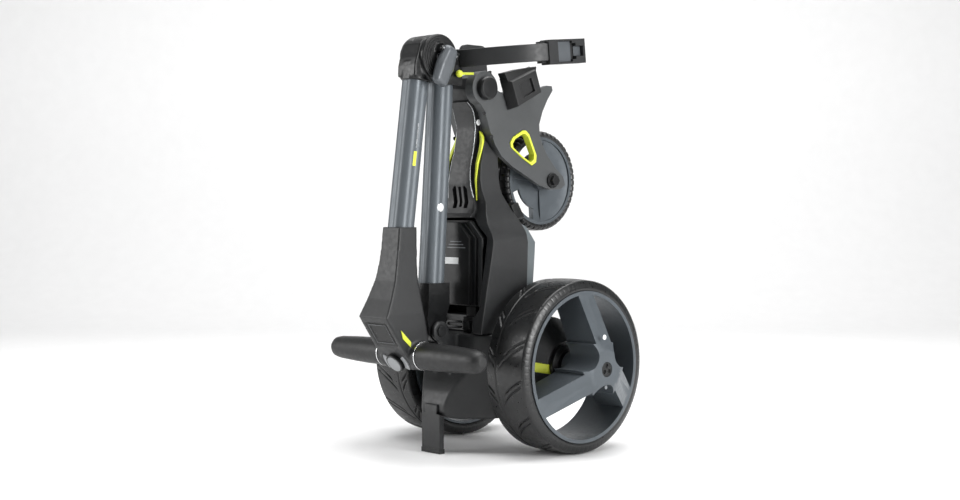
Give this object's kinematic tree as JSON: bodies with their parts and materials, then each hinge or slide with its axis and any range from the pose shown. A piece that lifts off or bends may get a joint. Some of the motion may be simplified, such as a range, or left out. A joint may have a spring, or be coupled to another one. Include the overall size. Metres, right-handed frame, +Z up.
{
  "type": "electric golf trolley",
  "caption": "Folded electric golf trolley standing on its rear wheels and a stand foot, with folding shafts, T handle, battery, front wheel fork and bag supports.",
  "frame": {"origin": "bottom centre of the bounding box, on the floor", "axes": "+X to the right wheel, +Y to the folded front wheel, +Z up"},
  "size_m": [0.472, 0.454, 0.704],
  "materials": {
    "graphite_metal": "satin graphite",
    "graphite_wheel": "satin graphite",
    "charcoal": "satin charcoal",
    "fork_grey": "satin dark grey",
    "coal": "satin black",
    "battery_black": "gloss black",
    "lime": "lime accents",
    "tyre_rubber": "black rubber",
    "grip_rubber": "soft black",
    "steel": "bright",
    "chrome_trim": "polished",
    "lever_grey": "satin",
    "cover_grey": "satin grey",
    "key_grey": "matt",
    "screen": "gloss dark screen",
    "motor_metal": "cast",
    "battery_cells": "electronics case"
  },
  "bodies": {
    "chassis": {"axle": "steel", "motor_pod_r": "charcoal", "motor_pod_l": "charcoal", "pod_strips": "lime", "clutch_discs": "coal", "axle_housing": "charcoal", "motor": "motor_metal", "gearbox": "motor_metal", "stand_foot": "charcoal", "foot_shoe": "grip_rubber", "chassis_body": "charcoal", "nose_panel": "charcoal", "lime_strips": "lime", "rear_cover": "cover_grey", "controller": "battery_cells", "stop_pads": "coal", "battery": "battery_black", "battery_bezel": "charcoal", "battery_plug": "coal", "battery_lead": "coal", "base_pin": "steel"},
    "wheel_r": {"tyre_r": "tyre_rubber", "wheel_right": "graphite_wheel"},
    "wheel_l": {"tyre_l": "tyre_rubber", "wheel_left": "graphite_wheel"},
    "button_r": {"hub_button_r": "coal"},
    "button_l": {"hub_button_l": "coal"},
    "fork": {"fork_arm_r": "fork_grey", "fork_arm_l": "fork_grey", "fork_bridge": "coal", "fork_pin": "coal", "fork_rings": "lime", "bag_clips": "grip_rubber", "front_axle": "coal"},
    "front_wheel": {"front_tyre": "tyre_rubber", "front_rim": "graphite_wheel"},
    "lower_shaft": {"base_bracket": "coal", "lower_tube": "graphite_metal", "lower_knuckle": "coal", "bag_hub": "coal", "bag_arm_r": "charcoal", "bag_arm_l": "charcoal", "bag_end_r": "charcoal", "bag_end_l": "charcoal", "elastic_ball": "lime"},
    "upper_shaft": {"upper_knuckle": "coal", "hinge_pin": "steel", "upper_tube": "graphite_metal", "console": "charcoal", "display_glass": "screen", "console_flashes": "lime", "handle_bar": "steel", "grip_right": "grip_rubber", "grip_left": "grip_rubber", "grip_rings": "chrome_trim"},
    "lever": {"cam_lever": "lever_grey"},
    "dial": {"dial_ring": "coal"},
    "dial_push": {"dial_cap": "chrome_trim"},
    "key_right": {"key_r": "key_grey"},
    "key_left": {"key_l": "key_grey"}
  },
  "joints": [
    {"name": "wheel_r_spin", "type": "hinge", "parent": "chassis", "child": "wheel_r", "pos_m": [0, 0.072, 0.145], "axis": [1, 0, 0], "continuous": true},
    {"name": "wheel_l_spin", "type": "hinge", "parent": "chassis", "child": "wheel_l", "pos_m": [0, 0.072, 0.145], "axis": [1, 0, 0], "continuous": true},
    {"name": "button_r_press", "type": "slide", "parent": "wheel_r", "child": "button_r", "axis": [-1, 0, 0], "range_m": [0, 0.004], "stiffness_N_per_m": 400},
    {"name": "button_l_press", "type": "slide", "parent": "wheel_l", "child": "button_l", "axis": [1, 0, 0], "range_m": [0, 0.004], "stiffness_N_per_m": 400},
    {"name": "fork_unfold", "type": "hinge", "parent": "chassis", "child": "fork", "pos_m": [0, -0.021, 0.608], "axis": [1, 0, 0], "range_deg": [0, 78]},
    {"name": "front_wheel_spin", "type": "hinge", "parent": "fork", "child": "front_wheel", "pos_m": [0, 0.139, 0.456], "axis": [1, 0, 0], "continuous": true},
    {"name": "shaft_unfold", "type": "hinge", "parent": "chassis", "child": "lower_shaft", "pos_m": [0, -0.098, 0.204], "axis": [1, 0, 0], "range_deg": [0, 115]},
    {"name": "handle_unfold", "type": "hinge", "parent": "lower_shaft", "child": "upper_shaft", "pos_m": [0, -0.107, 0.655], "axis": [-1, 0, 0], "range_deg": [0, 176]},
    {"name": "lever_open", "type": "hinge", "parent": "upper_shaft", "child": "lever", "pos_m": [0.042, -0.098, 0.663], "axis": [0, -0.915, 0.4035], "range_deg": [0, 100]},
    {"name": "dial_turn", "type": "hinge", "parent": "upper_shaft", "child": "dial", "pos_m": [0, -0.1765, 0.1574], "axis": [0, -0.829, -0.5592], "continuous": true},
    {"name": "dial_press", "type": "slide", "parent": "dial", "child": "dial_push", "axis": [0, 0.829, 0.5592], "range_m": [0, 0.001], "stiffness_N_per_m": 600},
    {"name": "key_r_press", "type": "slide", "parent": "upper_shaft", "child": "key_right", "axis": [0, 0.829, 0.5592], "range_m": [0, 0.001], "stiffness_N_per_m": 400},
    {"name": "key_l_press", "type": "slide", "parent": "upper_shaft", "child": "key_left", "axis": [0, 0.829, 0.5592], "range_m": [0, 0.001], "stiffness_N_per_m": 400}
  ],
  "couplings": [
    {"joint": "handle_unfold", "follows": "shaft_unfold", "ratio": 1.5304}
  ]
}
